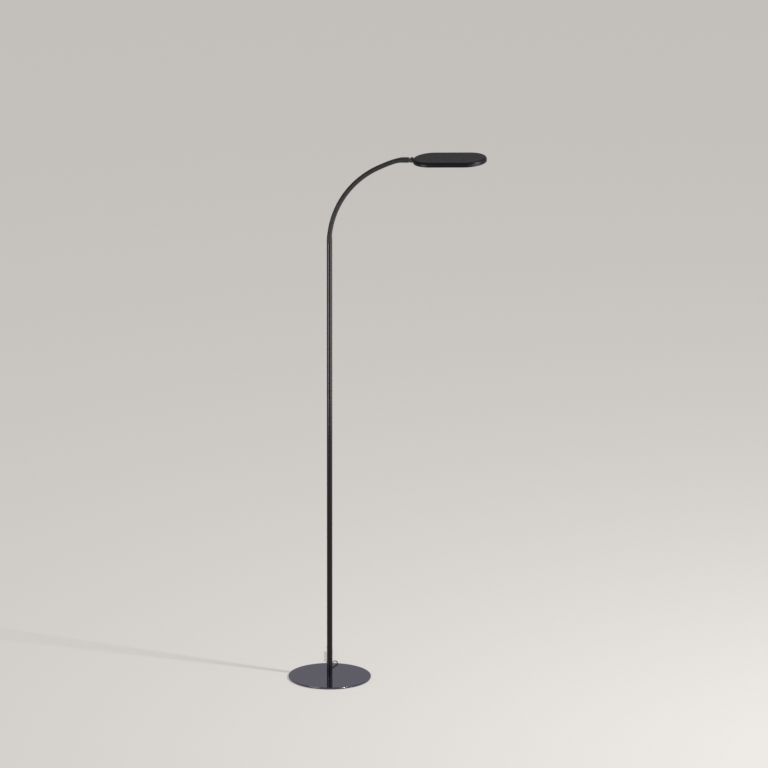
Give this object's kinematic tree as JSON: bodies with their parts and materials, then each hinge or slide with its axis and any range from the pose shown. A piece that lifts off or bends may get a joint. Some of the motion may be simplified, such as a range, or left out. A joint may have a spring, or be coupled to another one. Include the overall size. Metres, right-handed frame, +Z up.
{
  "type": "gooseneck reading floor lamp",
  "caption": "Floor lamp with a round plate base, slender two-part pole, flexible gooseneck arm and flat round-ended LED head that tilts; low-voltage lead at the back.",
  "frame": {"origin": "centre of the base's underside, on the floor", "axes": "+Z up along the pole, +X the way the arm reaches out, +Y to the back, where the lead leaves"},
  "size_m": [0.5824, 0.4199, 1.602],
  "materials": {
    "base_paint": "satin powder coat",
    "pole_paint": "satin powder coat",
    "collar_paint": "matt black coat",
    "fork_paint": "matt black coat",
    "neck_skin": "matt black skin over steel links",
    "zinc_steel": "zinc plated",
    "pin_steel": "blackened steel",
    "black_screw": "blackened steel",
    "washer_plastic": "slippery plastic",
    "head_plastic": "fine satin texture",
    "opal_plastic": "opal, faintly translucent",
    "clear_acrylic": "clear, polished edges",
    "white_film": "matt white film",
    "tray_aluminium": "bare sheet",
    "white_board": "white solder mask",
    "led_phosphor": "yellow phosphor",
    "green_board": "green solder mask",
    "component_black": "moulded",
    "copper_foil": "bare copper foil",
    "bush_rubber": "matt",
    "foam": "closed-cell foam",
    "lead_sheath": "satin sheath",
    "plug_plastic": "moulded plug, plated barrel",
    "strap_fabric": "hook-and-loop tape"
  },
  "bodies": {
    "stand": {"base_plate": "base_paint", "base_pad": "foam", "foot_screw": "zinc_steel", "foot_insert": "zinc_steel", "lower_pole": "pole_paint", "lead_bush": "bush_rubber", "joint_socket": "zinc_steel", "joint_stud": "zinc_steel", "upper_pole": "pole_paint", "pole_lead": "lead_sheath", "neck_collar": "collar_paint", "power_lead": "lead_sheath", "lead_hank": "lead_sheath", "lead_strap": "strap_fabric", "lead_tail": "lead_sheath", "lead_plug": "plug_plastic"},
    "link_01": {"neck_link_01": "neck_skin"},
    "link_02": {"neck_link_02": "neck_skin"},
    "link_03": {"neck_link_03": "neck_skin"},
    "link_04": {"neck_link_04": "neck_skin"},
    "link_05": {"neck_link_05": "neck_skin"},
    "link_06": {"neck_link_06": "neck_skin"},
    "link_07": {"neck_link_07": "neck_skin"},
    "link_08": {"neck_link_08": "neck_skin"},
    "link_09": {"neck_link_09": "neck_skin"},
    "link_10": {"neck_link_10": "neck_skin"},
    "link_11": {"neck_link_11": "neck_skin"},
    "arm_end": {"neck_ferrule": "collar_paint", "tilt_washers": "washer_plastic"},
    "head": {"head_fork": "fork_paint", "tilt_pin": "pin_steel", "tilt_nut": "pin_steel", "fork_screws": "zinc_steel", "head_top_shell": "head_plastic", "head_bottom_frame": "head_plastic", "frame_screws": "black_screw", "diffuser": "opal_plastic", "light_guide": "clear_acrylic", "reflector_sheet": "white_film", "heat_tray": "tray_aluminium", "led_strips": "white_board", "leds": "led_phosphor", "insulator_sheet": "white_film", "driver_board": "green_board", "driver_components": "component_black", "touch_electrode": "copper_foil"}
  },
  "joints": [
    {"name": "neck_bend", "type": "hinge", "parent": "stand", "child": "link_01", "pos_m": [0, 0, 1.338], "axis": [0, 1, 0], "range_deg": [-14, 10]},
    {"name": "neck_sway", "type": "hinge", "parent": "link_01", "child": "link_02", "pos_m": [0.00434, 0, 1.36799], "axis": [0.9801, 0, -0.1986], "range_deg": [-12, 12]},
    {"name": "neck_bend_2", "type": "hinge", "parent": "link_02", "child": "link_03", "pos_m": [0.01202, 0, 1.3973], "axis": [0, 1, 0], "range_deg": [-14, 10]},
    {"name": "neck_sway_2", "type": "hinge", "parent": "link_03", "child": "link_04", "pos_m": [0.02295, 0, 1.42556], "axis": [0.9109, 0, -0.4127], "range_deg": [-12, 12]},
    {"name": "neck_bend_3", "type": "hinge", "parent": "link_04", "child": "link_05", "pos_m": [0.03699, 0, 1.45241], "axis": [0, 1, 0], "range_deg": [-14, 10]},
    {"name": "neck_sway_3", "type": "hinge", "parent": "link_05", "child": "link_06", "pos_m": [0.05396, 0, 1.47752], "axis": [0.7956, 0, -0.6058], "range_deg": [-12, 12]},
    {"name": "neck_bend_4", "type": "hinge", "parent": "link_06", "child": "link_07", "pos_m": [0.07364, 0, 1.50055], "axis": [0, 1, 0], "range_deg": [-14, 10]},
    {"name": "neck_sway_4", "type": "hinge", "parent": "link_07", "child": "link_08", "pos_m": [0.09579, 0, 1.52123], "axis": [0.6401, 0, -0.7683], "range_deg": [-12, 12]},
    {"name": "neck_bend_5", "type": "hinge", "parent": "link_08", "child": "link_09", "pos_m": [0.12013, 0, 1.53928], "axis": [0, 1, 0], "range_deg": [-14, 10]},
    {"name": "neck_sway_5", "type": "hinge", "parent": "link_09", "child": "link_10", "pos_m": [0.14634, 0, 1.55449], "axis": [0.4706, 0, -0.8823], "range_deg": [-12, 12]},
    {"name": "neck_bend_6", "type": "hinge", "parent": "link_10", "child": "link_11", "pos_m": [0.17358, 0, 1.56779], "axis": [0, 1, 0], "range_deg": [-14, 10]},
    {"name": "neck_sway_6", "type": "hinge", "parent": "link_11", "child": "arm_end", "pos_m": [0.20137, 0, 1.5799], "axis": [0.2329, 0, -0.9725], "range_deg": [-12, 12]},
    {"name": "head_tilt", "type": "hinge", "parent": "arm_end", "child": "head", "pos_m": [0.242, 0, 1.58231], "axis": [0, 1, 0], "range_deg": [-45, 75]}
  ],
  "couplings": [
    {"joint": "neck_bend_2", "follows": "neck_bend", "ratio": 1},
    {"joint": "neck_bend_3", "follows": "neck_bend", "ratio": 1},
    {"joint": "neck_bend_4", "follows": "neck_bend", "ratio": 1},
    {"joint": "neck_bend_5", "follows": "neck_bend", "ratio": 1},
    {"joint": "neck_bend_6", "follows": "neck_bend", "ratio": 1},
    {"joint": "neck_sway_2", "follows": "neck_sway", "ratio": 1},
    {"joint": "neck_sway_3", "follows": "neck_sway", "ratio": 1},
    {"joint": "neck_sway_4", "follows": "neck_sway", "ratio": 1},
    {"joint": "neck_sway_5", "follows": "neck_sway", "ratio": 1},
    {"joint": "neck_sway_6", "follows": "neck_sway", "ratio": 1}
  ]
}
